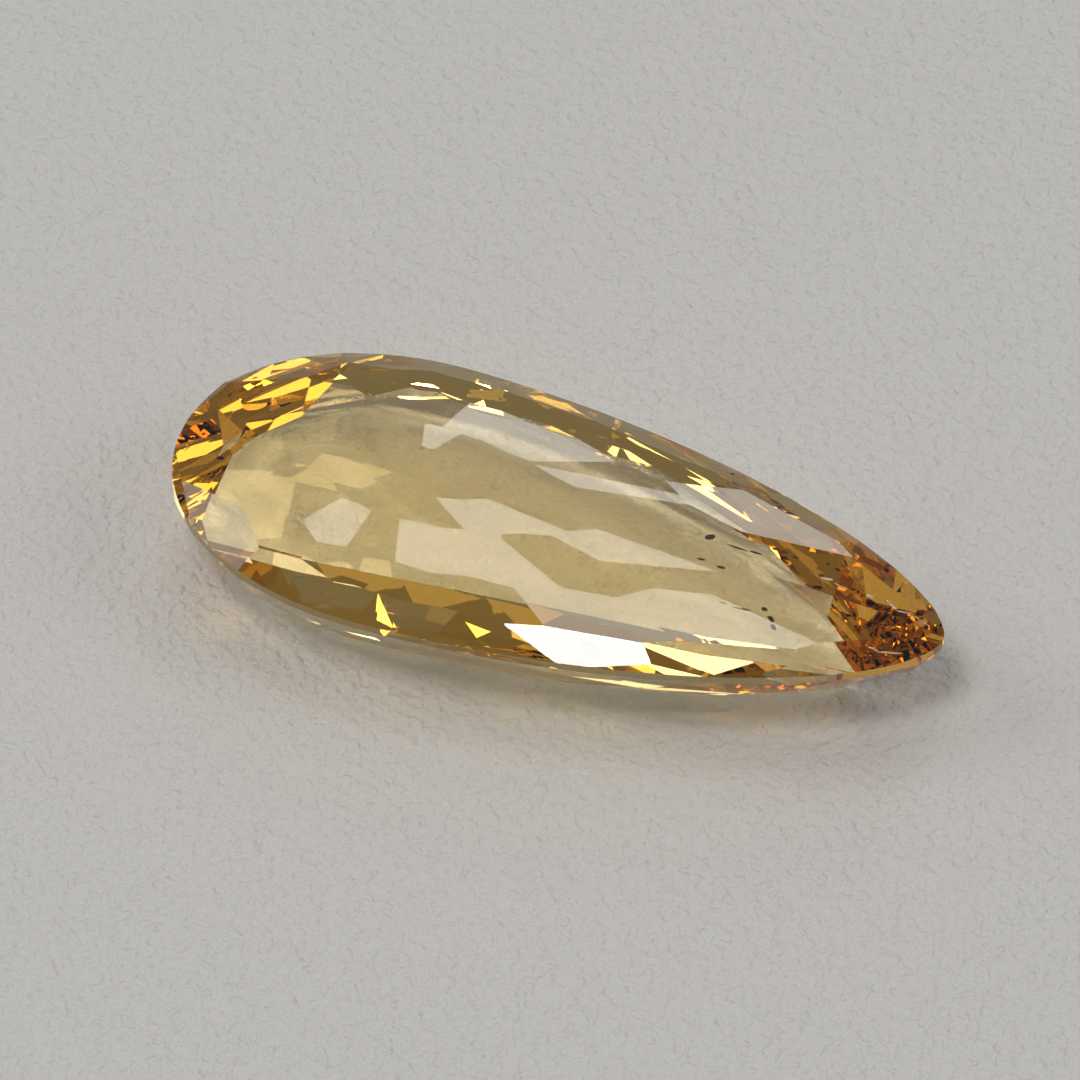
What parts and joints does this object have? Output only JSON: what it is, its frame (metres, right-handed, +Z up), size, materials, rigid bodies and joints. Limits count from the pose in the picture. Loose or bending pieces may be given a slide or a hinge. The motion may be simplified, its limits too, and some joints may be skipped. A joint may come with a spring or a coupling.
{
  "type": "faceted gemstone",
  "caption": "Loose pear-cut golden topaz with a long narrow point, a low crown and a deeper pavilion, both cut in rows of long diamond facets, standing on its keel flat.",
  "frame": {"origin": "centre of the stone's bounding box at its lowest face, which is the long flat at the bottom of the keel", "axes": "+X from the round head to the point, +Y across the stone, +Z up, square to the small flat table"},
  "size_m": [0.016, 0.0068, 0.0031],
  "materials": {
    "golden_topaz": "clear golden stone with sharp polished facets, a finely ground girdle and a few small dark and light specks inside near the point"
  },
  "bodies": {
    "root": {"topaz": "golden_topaz"}
  },
  "joints": []
}
